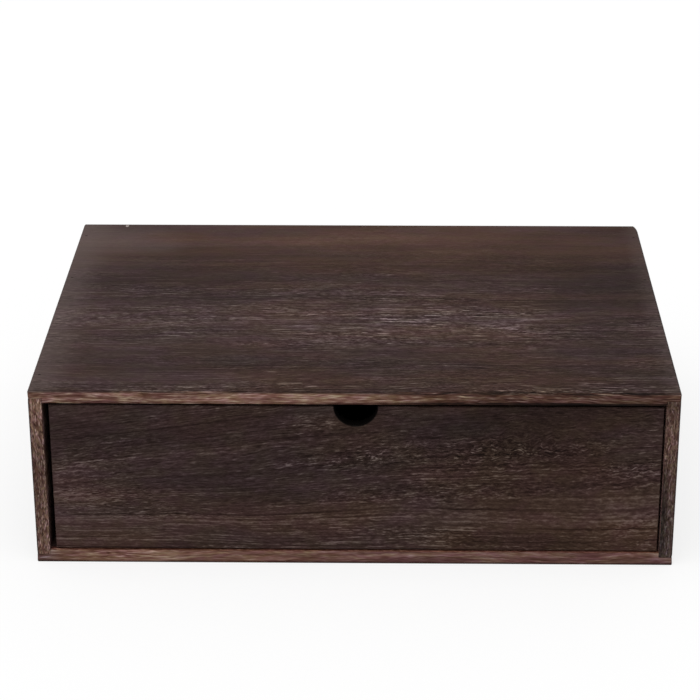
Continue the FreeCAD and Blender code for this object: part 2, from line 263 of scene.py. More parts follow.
class Wood:
    """The grain of one board, worked out in millimetres from where a point lies in it.

    The grain runs along one axis, and the rings lie nearly flat across another. Shift is the
    board's place in the tree, heart is the middle of the rings, and face is where the spots
    lie. Wander and curl say how far the grain bends and ripples.
    """

    def __init__(self, name, grain, flat, shift, heart, face=0.0, lean=None, wander=10.0,
                 curl=0.35, ripples=None):
        self.shader = shader = new_material(name)
        self.grain = grain
        self.flat = flat
        self.face = face
        self.here = shader.add("ShaderNodeTexCoord", {}, output="Object")
        place = shader.vector("MULTIPLY_ADD", self.here, IN_MM, shift)
        if lean:
            down = tuple(-1.0 if axis == flat else 0.0 for axis in (X, Y, Z))
            place = shader.vector("ADD", place, shader.scaled(down, lean(self)))
        # Two slow bends of the grain, and ripples that are higher where the wood is figured.
        lazy = self.waves(place, 190, 55, wander)
        quick = self.waves(place, 42, 17, wander / 8)
        self.figure = shader.smooth(shader.noise(place, self.sizes(80, 12)), 0.42, 0.60)
        height = 0.4 + self.figure
        if ripples:
            height = height + self.spot(*ripples) * 2.2
        ripple = shader.scaled(self.waves(place, 5.5, 4.5, curl), height)
        self.place = place
        for push in (lazy, quick, ripple):
            self.place = shader.vector("ADD", self.place, push)
        away = shader.vector("SUBTRACT", self.place, heart)
        self.radius = shader.distance(shader.vector("MULTIPLY", away, self.cross()))

    def sizes(self, along, across):
        """A length along the grain, and a thickness that is wider along the rings."""
        sizes = [across] * 3
        sizes[self.flat] = across * RING_SPREAD
        sizes[self.grain] = along
        return tuple(sizes)

    def cross(self, size=1.0):
        """A size in both directions across the grain and none along it."""
        return tuple(0.0 if axis == self.grain else size for axis in (X, Y, Z))

    def waves(self, place, along, across, reach):
        """A push across the grain that changes along it."""
        shader = self.shader
        colour = shader.noise(place, self.sizes(along, across), 1.0, output=1)
        centred = shader.vector("SUBTRACT", colour, (0.5, 0.5, 0.5))
        return shader.vector("MULTIPLY", centred, self.cross(2 * reach))

    def fibres(self, along, across, detail=0.0):
        """Noise drawn out along the grain."""
        return self.shader.noise(self.place, self.sizes(along, across), detail)

    def blotches(self, sizes, low, high):
        """Smooth patches of their own size in each direction, in millimetres: 0 to 1."""
        return self.shader.smooth(self.shader.noise(self.place, sizes, 1.0), low, high)

    def rings(self, spacing, detail=2.0):
        """Uneven growth rings."""
        return self.shader.add("ShaderNodeTexNoise",
                               {"W": self.radius / spacing, "Scale": 1.0, "Detail": detail,
                                "Roughness": 0.6},
                               noise_dimensions="1D")

    def axis(self, number):
        """One coordinate of the point, in millimetres."""
        return self.shader.add("ShaderNodeSeparateXYZ", {0: self.here}, output=number) / MM

    def ramp(self, axis, low, high, start=0.0, end=1.0):
        """Go smoothly from start to end between two places in millimetres."""
        return self.shader.smooth(self.axis(axis), low, high, start, end)

    def near(self, axis, plane, inward, full, gone):
        """1 at a plane given in metres, fading to 0 between two depths in millimetres."""
        depth = (self.axis(axis) - plane / MM) * inward
        return self.shader.smooth(depth, full, gone, 1.0, 0.0)

    def away(self, middle, reach):
        """The distance from a middle, where the reach in each direction counts as 1."""
        shader = self.shader
        steps = shader.vector("MULTIPLY_ADD", self.here, IN_MM,
                              tuple(-value for value in middle))
        return shader.distance(shader.vector("DIVIDE", steps, reach))

    def oval(self, middle, reach):
        """1 in the middle of an oval, fading to 0 at its uneven rim, in millimetres."""
        shader = self.shader
        uneven = shader.noise(self.here, (30 * MM, 20 * MM, 15 * MM))
        return shader.smooth(self.away(middle, reach) + (uneven - 0.5) * 0.8,
                             0.25, 1.0, 1.0, 0.0)

    def spot(self, middle, reach):
        """An oval on the face. It takes its middle and reach along and across the grain."""
        full_middle, full_reach = [self.face] * 3, [SPOT_DEPTH] * 3
        for axis, at, far in zip((self.grain, self.flat), middle, reach):
            full_middle[axis] = at
            full_reach[axis] = far
        return self.oval(full_middle, full_reach)

    def spots(self, *rows):
        """Spots added up. Each row has a middle, a reach, and the level in the middle."""
        return sum(self.spot(middle, reach) * level for middle, reach, level in rows)

    def across(self, axis, low, high, levels):
        """Levels from -2 to 2, spread evenly from one plane to another, given in metres."""
        shader = self.shader
        sizes = tuple(size * MM for size in self.sizes(150, 60))
        drift = (shader.noise(self.here, sizes, 1.0) - 0.5) * 30
        share = (self.axis(axis) + drift - low / MM) / ((high - low) / MM)
        last = len(levels) - 1
        grey = shader.add(
            "ShaderNodeValToRGB", {0: share},
            stops=[(number / last, 0.5 + level / 4) for number, level in enumerate(levels)])
        return grey * 4 - 2


# Soft patches of darker and lighter stain, in the terms of GRAIN.
CLOUDS = (
    (150, 22, 1, 1.0),
    (45, 10, 1, 0.6),
)


def grain_level(wood, marks):
    """The marks of the grain added up: 0 on average, above it lighter, below it darker."""
    level = 0.0
    for along, across, detail, strength in marks:
        level = level + (wood.fibres(along, across, detail) - 0.5) * strength
    return level


# Factors of red, green and blue: how the stain drifts along a board, its finer patches, and
# the darkest and the palest marks of the grain.
COOL_STAIN, WARM_STAIN = (1.0, 0.97, 1.09), (1.08, 0.92, 0.79)
MAUVE, OLIVE = (1.01, 0.955, 1.04), (0.99, 1.035, 0.94)
RED_PORES, GREY_FIBRES = (1.26, 0.94, 0.84), (0.77, 1.04, 1.14)

# The palest marks, and the grey of a painted sheen.
PALE_FIBRES = linear(112, 96, 89)
SHEEN_GREY = linear(94, 82, 79)


def patchy(wood, colour, along, across):
    """Let a colour wander between mauve and olive in patches of a size in millimetres."""
    patches = wood.blotches(wood.sizes(along, across), 0.35, 0.65)
    return wood.shader.tinted(colour, wood.shader.mix(patches, MAUVE, OLIVE))


def grain_tinted(wood, colour, marks):
    """Redden a colour where the grain is dark, and grey it where the grain is pale."""
    tint = wood.shader.mix(0.5 + marks / 3, RED_PORES, GREY_FIBRES)
    return wood.shader.tinted(colour, tint)


def stained_board(wood, tone, bands=0.0, painted_sheen=0.0, strength=1.0, lines=0.5, dashes=0.45,
                  streaks=0.0, rings=1.0, clouds=0.5, warmth=0.5, arrises=(), edge=None):
    """Dark stained wood with open grain.

    Bands lighten it, and the sheen share lays a painted grey sheen over it. Strength goes for
    all the fine marks, and lines, dashes, streaks, rings and clouds say how bold each kind is.
    Warmth runs from the cool stain at 0 to the warm one at 1. The arrises, given as planes and
    the way into the board, are darker, and edge repaints the front edge.
    """
    shader = wood.shader
    # Pores lie in crowds, and all marks are bolder where the wood is figured.
    crowd = shader.smooth(wood.fibres(95, 13, 1), 0.36, 0.62)
    light_pores = shader.smooth(wood.fibres(6.5, 0.62), 0.60, 0.72) * (0.3 + crowd)
    dark_pores = shader.smooth(wood.fibres(5.5, 0.55), 0.60, 0.74) * (0.5 + crowd)
    marks = grain_level(wood, GRAIN) + (light_pores - dark_pores) * dashes
    marks = marks * (0.75 + 0.5 * wood.figure)
    # Along a board, dark ring lines take turns with fine threads.
    fading = shader.smooth(wood.fibres(130, 9, 1), 0.40, 0.60)
    ring_lines = shader.smooth(wood.rings(1.6, 1.0), 0.60, 0.66) * fading
    threads = (wood.rings(0.85, 1.0) - 0.5) * (1.2 - 0.7 * fading)
    long_streaks = shader.smooth(wood.fibres(75, 0.6, 1), 0.58, 0.68)
    fine = (marks + threads - ring_lines * lines + long_streaks * streaks) * strength
    level = fine + (wood.rings(13) - 0.5) * rings + grain_level(wood, CLOUDS) * clouds + bands
    for arris in arrises:
        level = level - wood.near(*arris, 0.5, 1.2) * 0.45

    hue = wood.blotches(wood.sizes(60, 17), 0.35, 0.65)
    tint = shader.mix(warmth + (hue - 0.5) * 0.6, COOL_STAIN, WARM_STAIN)
    colour = patchy(wood, shader.tinted(tone, tint), 14, 6)
    colour = shader.scaled(grain_tinted(wood, colour, fine), level.exponent())
    colour = shader.mix(shader.smooth(level, 0.35, 1.3) * 0.35, colour, PALE_FIBRES)
    # Painted sheen: a pale grey laid over the wood where a share of it is set.
    if painted_sheen:
        colour = shader.mix(painted_sheen, colour, shader.scaled(SHEEN_GREY, (fine * 0.6).exponent()))
    if edge:
        colour = edge(wood, colour)
    bump = shader.add("ShaderNodeBump",
                      {"Strength": 0.35, "Distance": 0.2 * MM, "Height": marks})
    return shader.finish(Base_Color=colour, Roughness=0.66 - 0.06 * level, Normal=bump,
                         Specular_IOR_Level=0.08)


# The marks on the sanded edges, which are longer and bolder, and the edges' paler wood.
EDGE_GRAIN = (
    (110, 4.5, 1, 0.7),
    (45, 1.5, 1, 1.3),
    (18, 0.70, 1, 1.8),
    (8, 0.45, 0, 2.0),
    (3.5, 0.35, 0, 1.1),
)
TAN_WOOD, PALE_WOOD = linear(118, 90, 77), linear(165, 136, 116)


def sanded_colour(wood, tones, contrast):
    """The warm, streaky colour of an edge that is sanded through the stain."""
    shader = wood.shader
    marks = grain_level(wood, EDGE_GRAIN) * contrast
    level = marks + tones
    tan = shader.smooth(wood.fibres(60, 2.4, 1), 0.40, 0.62)
    warm = shader.mix(tan, settings().edge_tone, TAN_WOOD)
    warm = patchy(wood, patchy(wood, warm, 16, 3), 7, 2)
    warm = grain_tinted(wood, warm, marks * 1.6 + tones * 0.8)
    colour = shader.scaled(warm, level.exponent())
    return shader.mix(shader.smooth(level, 0.5, 1.2) * 0.4, colour, PALE_WOOD)


def end_grain_colour(wood, tones):
    """The mottled colour of a sanded board end: pale winding walls round redder cells."""
    shader = wood.shader
    cells = wood.blotches((1.2, 3.0, 6.0), 0.42, 0.58)
    walls = wood.blotches((0.7, 3.0, 4.5), 0.54, 0.66)
    cores = wood.blotches((0.7, 2.5, 3.0), 0.56, 0.68)
    level = ((wood.blotches((5, 9, 22), 0.3, 0.7) - 0.5) * 0.15
             + (wood.blotches((0.45, 3, 1.6), 0.3, 0.7) - 0.5) * 0.8 + tones)
    colour = shader.mix(cells, linear(106, 82, 71), linear(80, 56, 47))
    colour = shader.mix(walls * 0.95, colour, linear(140, 116, 108))
    colour = shader.mix(cores * 0.9, colour, linear(50, 31, 25))
    colour = patchy(wood, patchy(wood, colour, 9, 2.5), 9, 1.2)
    return shader.scaled(colour, level.exponent())


def sanded_front(bare, outer, wear_and_highlight=1.0):
    """Sand the front edge of a board, and keep it darker along its outer arris.

    The last setting says how much of that darker arris turns pale again in dashes: partly
    wear, partly painted highlights where the arris catches light.
    """
    def edge(wood, stained):
        shader = wood.shader
        front = wood.near(Y, TOP_LOW.y, 1, 0.35, 0.75)
        dark = wood.near(*outer, 0.35, 1.5)
        # Pale dashes along the arris: partly wear, partly painted highlights.
        worn_and_lit_dashes = shader.smooth(wood.fibres(50, 1.2, 1), 0.50, 0.62) * wear_and_highlight
        share = front * (1 - dark * (0.95 - 0.8 * worn_and_lit_dashes))
        arris = wood.near(Y, TOP_LOW.y, 1, 0.4, 1.4) * dark
        stained = shader.scaled(stained, 1 - 0.35 * arris)
        return shader.mix(share, stained, bare(wood))
    return edge


# ---------- modelling


def settings():
    return bpy.context.scene.desk_box


def add_block(name, low, high):
    """A block between two corners, at the origin with its place in its mesh."""
    bpy.ops.mesh.primitive_cube_add(size=1, location=(low + high) / 2, scale=high - low)
    block = bpy.context.active_object
    block.name = block.data.name = name
    bpy.ops.object.transform_apply(location=True, rotation=True, scale=True)
    return block


def only(piece):
    """Make a piece the one that operators act on."""
    bpy.ops.object.select_all(action="DESELECT")
    piece.select_set(True)
    bpy.context.view_layer.objects.active = piece


def pick(piece, kind, test):
    """In edit mode, select the faces or edges whose lowest and highest corners pass a test."""
    bpy.ops.mesh.select_mode(type="FACE" if kind == "faces" else "EDGE")
    bpy.ops.mesh.select_all(action="DESELECT")
    mesh = bmesh.from_edit_mesh(piece.data)
    for item in getattr(mesh, kind):
        places = [corner.co for corner in item.verts]
        low = Vector(min(place[axis] for place in places) for axis in (X, Y, Z))
        high = Vector(max(place[axis] for place in places) for axis in (X, Y, Z))
        if test(low, high):
            item.select_set(True)
    mesh.select_flush_mode()
    bmesh.update_edit_mesh(piece.data)


def slice_at(axis, places):
    """Cut the mesh in edit mode square to an axis, at each place."""
    normal = [0, 0, 0]
    normal[axis] = 1
    for place in places:
        bpy.ops.mesh.select_all(action="SELECT")
        bpy.ops.mesh.bisect(plane_co=[place * share for share in normal], plane_no=normal)


def push(distance):
    """Extrude the selected faces by a distance."""
    bpy.ops.mesh.extrude_region_move(TRANSFORM_OT_translate={"value": distance})


def bevel(width, segments):
    """Round the selected edges."""
    bpy.ops.mesh.bevel(offset=width, segments=segments, affect="EDGES")


def ease(piece, width, segments, test):
    """Round the edges of a finished piece that pass a test."""
    only(piece)
    bpy.ops.object.mode_set(mode="EDIT")
    pick(piece, "edges", test)
    bevel(width, segments)
    bpy.ops.object.mode_set(mode="OBJECT")


def cut_away(piece, cutter):
    """Take a cutter out of a piece."""
    only(piece)
    boolean = piece.modifiers.new("cut", "BOOLEAN")
    boolean.operation = "DIFFERENCE"
    boolean.solver = "EXACT"
    boolean.object = cutter
    bpy.ops.object.modifier_apply(modifier=boolean.name)
    bpy.data.objects.remove(cutter)


def spaced(low, high, pitch):
    """Places strictly between two ends, about a pitch apart."""
    count = round((high - low) / pitch)
    return [low + (high - low) * number / count for number in range(1, count)]


def rub_arrises(piece, grain):
    """Wear the rounded edges unevenly along the grain, never outwards."""
    only(piece)
    low, high = Vector(piece.bound_box[0]), Vector(piece.bound_box[6])
    flat_from = 2.2 * settings().arris
    bpy.ops.object.mode_set(mode="EDIT")
    for axis in (X, Y, Z):
        slice_at(axis, (low[axis] + flat_from, high[axis] - flat_from))
    slice_at(grain, spaced(low[grain] + flat_from, high[grain] - flat_from,
                           settings().wear_pitch))
    bpy.ops.object.mode_set(mode="OBJECT")
    rounded = piece.vertex_groups.new(name="rounded")
    nearly_square = 0.985
    for vertex in piece.data.vertices:
        if max(abs(share) for share in vertex.normal) < nearly_square:
            rounded.add([vertex.index], 1.0, "REPLACE")
    clouds = bpy.data.textures.new(f"{piece.name}_wear", "CLOUDS")
    clouds.noise_scale = 9 * MM
    clouds.noise_depth = 2
    wear = piece.modifiers.new("wear", "DISPLACE")
    wear.texture = clouds
    wear.texture_coords = "LOCAL"
    wear.vertex_group = rounded.name
    wear.strength = settings().wear
    wear.mid_level = 1.0
    bpy.ops.object.modifier_apply(modifier=wear.name)
    piece.vertex_groups.clear()


def pin_ends(node, axis, face):
    """The middles of the square pins that end just under a face, each put on that face."""
    just_under = 0.4 * MM
    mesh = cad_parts[node].data
    mesh.calc_loop_triangles()
    middles = set()
    for triangle in mesh.loop_triangles:
        corners = [mesh.vertices[index].co for index in triangle.vertices]
        if all(abs(corner[axis] - face) < just_under for corner in corners):
            diagonal = max(itertools.combinations(corners, 2),
                           key=lambda pair: (pair[0] - pair[1]).length)
            middle = (diagonal[0] + diagonal[1]) / 2
            middle[axis] = face
            middles.add(tuple(round(share, 5) for share in middle))
    return sorted(middles)


def dent(piece, axis, face, *nodes):
    """Cut a shallow round dent over every pin that ends just under a face of a piece."""
    dents = []
    for middle in itertools.chain(*(pin_ends(node, axis, face) for node in nodes)):
        bpy.ops.mesh.primitive_cylinder_add(
            vertices=24, radius=settings().dent_radius, depth=2 * settings().dent_depth,
            location=middle, rotation=(0, math.pi / 2 if axis == X else 0, 0))
        dents.append(bpy.context.active_object)
    for cutter in dents:
        cutter.select_set(True)
    bpy.ops.object.join()
    cut_away(piece, bpy.context.active_object)


def groove_cutter(left, right, near_side, far_side):
    """A block as high as the grooves that hold the drawer bottom."""
    return add_block("groove", Vector((left, near_side, PANEL_LOW.z)),
                     Vector((right, far_side, PANEL_HIGH.z + settings().groove_play)))


def dress(piece, node, material):
    """Smooth a finished piece, give it its material and let it stand for its node."""
    only(piece)
    bpy.ops.object.shade_smooth_by_angle(angle=SMOOTH_ANGLE)
    piece.data.materials.clear()
    piece.data.materials.append(material)
    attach(piece, "drawer" if node.startswith("drawer") else "case")
    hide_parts(node)


def on_plane(low, high, axis, plane):
    """Whether a face or edge lies in a plane square to an axis."""
    return abs(low[axis] - plane) < TOUCH and abs(high[axis] - plane) < TOUCH


def upright(low, high, ends, sides):
    """Whether an edge stands upright where one of the ends meets one of the sides."""
    return (high.z - low.z > TOUCH and any(on_plane(low, high, X, end) for end in ends)
            and any(on_plane(low, high, Y, side) for side in sides))


def rebated_shelf(name, node, tongue_face, inner_face, arris, worn_corner=0.0):
    """A full-width board: its thin ends first, then its middle brought to full thickness."""
    low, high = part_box(node)
    outer_face = low.z if inner_face > tongue_face else high.z
    shelf = add_block(name,
                      Vector((low.x, low.y, min(outer_face, tongue_face))),
                      Vector((high.x, high.y, max(outer_face, tongue_face))))
    bpy.ops.object.mode_set(mode="EDIT")
    slice_at(X, (LEFT_HIGH.x, RIGHT_LOW.x))
    pick(shelf, "faces", lambda a, b: on_plane(a, b, Z, tongue_face)
         and a.x > LEFT_HIGH.x - TOUCH and b.x < RIGHT_LOW.x + TOUCH)
    push((0, 0, inner_face - tongue_face))
    if worn_corner:
        pick(shelf, "edges", lambda a, b: upright(a, b, (high.x,), (high.y,)))
        bevel(worn_corner, segments=8)
        bpy.ops.transform.resize(value=(settings().worn_share, 1, 1), center_override=high)
    # The outline of the outer face, without the cuts across it, and the four corners.
    pick(shelf, "edges", lambda a, b: on_plane(a, b, Z, outer_face)
         and not (a.x > low.x + TOUCH and b.x < high.x - TOUCH and b.x - a.x < TOUCH)
         or upright(a, b, (low.x, high.x), (low.y, high.y)))
    bevel(arris, segments=4)
    # The front and back edges of the inner face.
    pick(shelf, "edges", lambda a, b: on_plane(a, b, Z, inner_face)
         and any(on_plane(a, b, Y, side) for side in (low.y, high.y)))
    bevel(settings().joint_ease, segments=2)
    bpy.ops.object.mode_set(mode="OBJECT")
    return shelf


# ---------- operators


class DESKBOX_OT_shelves(bpy.types.Operator):
    """Model the rebated top and bottom boards of the case"""

    bl_idname = "desk_box.shelves"
    bl_label = "Top and bottom boards"

    def execute(self, context):
        top = rebated_shelf("top_board", "case_top", LEFT_HIGH.z, TOP_LOW.z,
                            settings().arris, settings().worn_corner)
        rub_arrises(top, X)
        dent(top, Z, TOP_HIGH.z, "case_top_pins", "back_panel_pins")
        dress(top, "case_top", top_wood())
        bottom = rebated_shelf("bottom_board", "case_bottom", LEFT_LOW.z, BOTTOM_HIGH.z,
                               settings().foot_arris)
        rub_arrises(bottom, X)
        dent(bottom, Z, BOTTOM_LOW.z, "case_bottom_pins", "back_panel_pins")
        dress(bottom, "case_bottom", bottom_wood())
        return {"FINISHED"}


class DESKBOX_OT_sides(bpy.types.Operator):
    """Model the side boards of the case"""

    bl_idname = "desk_box.sides"
    bl_label = "Side boards"

    def execute(self, context):
        for name, node, outer, material in (
                ("left_board", "case_left_side", 0, left_wood),
                ("right_board", "case_right_side", 1, right_wood)):
            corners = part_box(node)
            side = add_block(name, *corners)
            outer_face = corners[outer].x
            ease(side, settings().arris, 4,
                 lambda a, b: on_plane(a, b, X, outer_face) and b.z - a.z > TOUCH)
            ease(side, settings().joint_ease, 2,
                 lambda a, b: any(on_plane(a, b, Y, end.y) for end in corners))
            rub_arrises(side, Z)
            dress(side, node, material())
        return {"FINISHED"}


class DESKBOX_OT_back(bpy.types.Operator):
    """Model the inset back panel"""

    bl_idname = "desk_box.back"
    bl_label = "Back panel"

    def execute(self, context):
        low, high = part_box("case_back")
        back = add_block("back_panel", low, high)
        ease(back, settings().joint_ease, 2, lambda a, b: on_plane(a, b, Y, high.y))
        dress(back, "case_back", back_wood())
        return {"FINISHED"}


class DESKBOX_OT_drawer_front(bpy.types.Operator):
    """Model the drawer front with its rebates, groove and finger notch"""

    bl_idname = "desk_box.drawer_front"
    bl_label = "Drawer front"

    def execute(self, context):
        low, high = FRONT_LOW, FRONT_HIGH
        side_low, side_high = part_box("drawer_left_side")
        lip = side_low.y
        inner_left = side_high.x
        inner_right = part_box("drawer_right_side")[0].x
        front = add_block("drawer_face", low, Vector((high.x, lip, high.z)))
        bpy.ops.object.mode_set(mode="EDIT")
        slice_at(X, (inner_left, inner_right))
        pick(front, "faces", lambda a, b: on_plane(a, b, Y, lip)
             and a.x > inner_left - TOUCH and b.x < inner_right + TOUCH)
        push((0, high.y - lip, 0))
        bpy.ops.object.mode_set(mode="OBJECT")
        cut_away(front, groove_cutter(low.x, high.x, high.y - settings().groove_depth,
                                      high.y + settings().groove_depth))
        radius = settings().notch_radius
        bpy.ops.mesh.primitive_cylinder_add(
            vertices=96, radius=radius, depth=4 * (high.y - low.y),
            location=((low.x + high.x) / 2, low.y, high.z), rotation=(math.pi / 2, 0, 0))
        cut_away(front, bpy.context.active_object)
        # The outline of the face with its notch, without the cuts across it, and the notch's
        # arc behind, whose short edges all slope.
        slope = TOUCH / 10
        ease(front, settings().front_ease, 3, lambda a, b: on_plane(a, b, Y, low.y)
             and not (a.x > low.x + TOUCH and b.x < high.x - TOUCH and b.x - a.x < TOUCH
                      and b.z - a.z > radius)
             or on_plane(a, b, Y, high.y) and b.x - a.x > slope and b.z - a.z > slope)
        rub_arrises(front, X)
        dress(front, "drawer_front", front_wood())
        return {"FINISHED"}


class DESKBOX_OT_drawer_sides(bpy.types.Operator):
    """Model the grooved drawer sides"""

    bl_idname = "desk_box.drawer_sides"
    bl_label = "Drawer sides"

    def execute(self, context):
        depth = settings().groove_depth
        for name, node, inner in (("drawer_left", "drawer_left_side", 1),
                                  ("drawer_right", "drawer_right_side", 0)):
            low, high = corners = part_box(node)
            side = add_block(name, low, high)
            inner_face, outer_face = corners[inner].x, corners[1 - inner].x
            cut_away(side, groove_cutter(inner_face - depth, inner_face + depth,
                                         low.y - depth, high.y + depth))
            ease(side, settings().front_ease, 3,
                 lambda a, b: on_plane(a, b, Z, high.z) and b.y - a.y > TOUCH)
            dent(side, X, outer_face, "drawer_front_pins", "drawer_back_pins")
            dress(side, node, inside_wood(name, Y, inner * 90.0))
        return {"FINISHED"}


class DESKBOX_OT_drawer_back(bpy.types.Operator):
    """Model the drawer back"""

    bl_idname = "desk_box.drawer_back"
    bl_label = "Drawer back"

    def execute(self, context):
        low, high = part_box("drawer_back")
        back = add_block("drawer_rear", low, high)
        ease(back, settings().front_ease, 3,
             lambda a, b: on_plane(a, b, Z, high.z) and b.x - a.x > TOUCH)
        dress(back, "drawer_back", inside_wood("drawer_rear", X, 40.0))
        return {"FINISHED"}


class DESKBOX_OT_drawer_bottom(bpy.types.Operator):
    """Model the thin drawer bottom"""

    bl_idname = "desk_box.drawer_bottom"
    bl_label = "Drawer bottom"

    def execute(self, context):
        panel = add_block("drawer_floor", PANEL_LOW, PANEL_HIGH)
        ease(panel, settings().joint_ease, 2,
             lambda a, b: on_plane(a, b, Y, PANEL_HIGH.y) and b.x - a.x > TOUCH)
        dent(panel, Z, PANEL_LOW.z, "drawer_bottom_pins")
        dress(panel, "drawer_bottom", panel_wood())
        return {"FINISHED"}


class DESKBOX_OT_pins(bpy.types.Operator):
    """Give the pins their metal"""

    bl_idname = "desk_box.pins"
    bl_label = "Pins"

    def execute(self, context):
        bare, stained = bare_steel(), stained_steel()
        for name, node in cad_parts.items():
            if name.endswith("_pins"):
                node.data.materials.clear()
                node.data.materials.append(bare if name == "back_panel_pins" else stained)
        return {"FINISHED"}


# ---------- materials of the pieces

# A painted glint round a pin head, the painted shade of the finger notch, and the steel of the
# pins.
PAINTED_GLINT = linear(176, 164, 160)
NOTCH_SHADE_BLACK = linear(9, 6, 5)
BARE_STEEL, STAINED_STEEL = linear(214, 212, 208), linear(48, 38, 34)


def top_wood():
    """Figured in front of the middle, warm at the back, with painted sheen at the ends."""
    wood = Wood("top_wood", X, Y, (310, 140, 55), (0, -320, 120), face=TOP_HIGH.z / MM)
    dark_place = wood.spot((132, 5), (48, 78))
    rippled_place = wood.spot((35, -38), (95, 24))
    depth = Y, TOP_LOW.y, TOP_HIGH.y
    width = X, TOP_LOW.x, TOP_HIGH.x
    # Across the depth the top is lighter in a band near the back: a painted reflection of the
    # light.
    bands = (wood.across(*depth, (-0.17, -0.34, -0.15, 0.17, -0.17, -0.34, -0.14, 0.38, 0.08))
             + wood.across(*width, (0.26, -0.06, -0.02, 0.02, 0.04, 0.03, 0.02, -0.08, -0.2))
             + wood.spots(((-35, -15), (55, 25), 0.17), ((-35, -54), (85, 12), 0.3),
                          ((-25, -83), (95, 12), -0.25), ((60, 75), (48, 16), 0.2),
                          ((105, 98), (36, 12), -0.2), ((75, -66), (42, 11), 0.26),
                          ((152, -83), (22, 12), 0.28), ((-135, 115), (42, 12), -0.24),
                          ((152, 108), (45, 24), -0.2))
             - dark_place * 0.2)
    # Painted sheen: a paler grey haze over both ends of the top and over its back left corner.
    sheen_at_ends = (wood.near(X, TOP_LOW.x, 1, 0, 24) * 0.5
                 + wood.near(X, TOP_HIGH.x, -1, 0, 12) * 0.25)
    sheen_at_corner = wood.spot((-150, 92), (50, 50)) * 0.35
    painted_sheen = 1 - (1 - sheen_at_ends) * (1 - sheen_at_corner)
    # The fine marks are boldest across the middle of the depth: pale grain streaks, with a
    # painted sheen on them.
    strength = (wood.across(*depth, (0.95, 0.72, 0.95, 1.75, 1.05, 0.8, 0.42, 0.2, 0.25))
                * wood.across(*width, (0.62, 0.62, 0.8, 0.92, 1.05, 1, 1, 1, 0.95))
                * (1 + rippled_place * 0.2 - dark_place * 0.5
                   + wood.spots(((-125, 15), (50, 18), 0.5), ((135, -98), (34, 24), 0.5))
                   + wood.near(Y, TOP_LOW.y, 1, 3, 16) * 0.7))
    warmth = (wood.across(*depth, (0.75, 0.4, 0.2, 0.15, 0.2, 0.4, 0.8, 1.2, 0.4))
              + wood.across(*width, (-0.4, -0.3, -0.2, 0, 0.1, 0.2, 0.25, 0.05, -0.15)))
    upper_face = wood.near(Z, TOP_HIGH.z, -1, 0.6, 1.6)
    return stained_board(
        wood, settings().case_tone, bands=bands * upper_face, painted_sheen=painted_sheen * upper_face,
        strength=1 + (strength - 1) * upper_face, dashes=0.3, streaks=0.9, rings=0.5,
        clouds=0.7, warmth=warmth,
        arrises=((X, TOP_LOW.x, 1), (X, TOP_HIGH.x, -1), (Y, TOP_HIGH.y, -1)),
        edge=top_front_and_glint)


def top_front_and_glint(wood, stained):
    """The top's sanded front edge with dark dashes, and a painted glint round its back left
    pin.
    """
    shader = wood.shader
    colour = sanded_front(top_edge, (Z, TOP_HIGH.z, -1))(wood, stained)
    arris = wood.near(Z, TOP_HIGH.z, -1, 0.8, 1.8) * wood.near(Y, TOP_LOW.y, 1, 0.6, 1.8)
    dashes = shader.smooth(wood.fibres(16, 1.2, 1), 0.48, 0.60)
    darkening = arris * dashes * wood.ramp(X, -10, 50)
    colour = shader.scaled(colour, 1 - darkening * 0.65)
    # Painted glint: a pale spot round the head of the back left pin.
    x, y, z = pin_ends("back_panel_pins", Z, TOP_HIGH.z)[0]
    glint_spot = wood.away((x / MM, y / MM - 0.5, z / MM), (1.15, 2.1, 1.0))
    return shader.mix(shader.smooth(glint_spot, 0.6, 1.0, 0.9, 0.0), colour, PAINTED_GLINT)


def top_edge(wood):
    """Darker on the right, with painted shade along the lower arris."""
    tones = wood.across(X, TOP_LOW.x, TOP_HIGH.x,
                        (0, 0.05, 0.1, 0.2, -0.05, -0.5, -0.8, -0.8, -0.6))
    # Painted shade: the dark line of the gap under the top board, laid along its lower arris
    # and strongest on the right.
    darkening = 0.5 + wood.ramp(X, -20, 80) * 1.9
    tones = tones - wood.near(Z, TOP_LOW.z, 1, 0.8, 2.0) * darkening
    contrast = 1.15 + wood.ramp(X, 0, 60) * 0.45
    return sanded_colour(wood, tones, contrast)


def bottom_wood():
    wood = Wood("bottom_wood", X, Y, (-210, 540, 155), (0, 100, -300))
    return stained_board(wood, settings().case_tone,
                         arrises=((X, BOTTOM_LOW.x, 1), (X, BOTTOM_HIGH.x, -1)),
                         edge=bottom_front_and_gap_light)


def bottom_front_and_gap_light(wood, stained):
    """The bottom board's sanded front edge, and painted light on its upper face behind it."""
    shader = wood.shader
    # Painted light: the upper face is lightened where it shows through the gap under the
    # drawer.
    gap_light_share = wood.near(Y, BOTTOM_LOW.y, 1, 2, 5) * wood.near(Z, BOTTOM_HIGH.z, -1, 0.3, 1.0)
    stained = shader.tinted(stained, shader.mix(gap_light_share, WHITE, (3.6, 2.7, 2.1)))
    return sanded_front(bottom_edge, (Z, BOTTOM_LOW.z, 1), wear_and_highlight=0.3)(wood, stained)


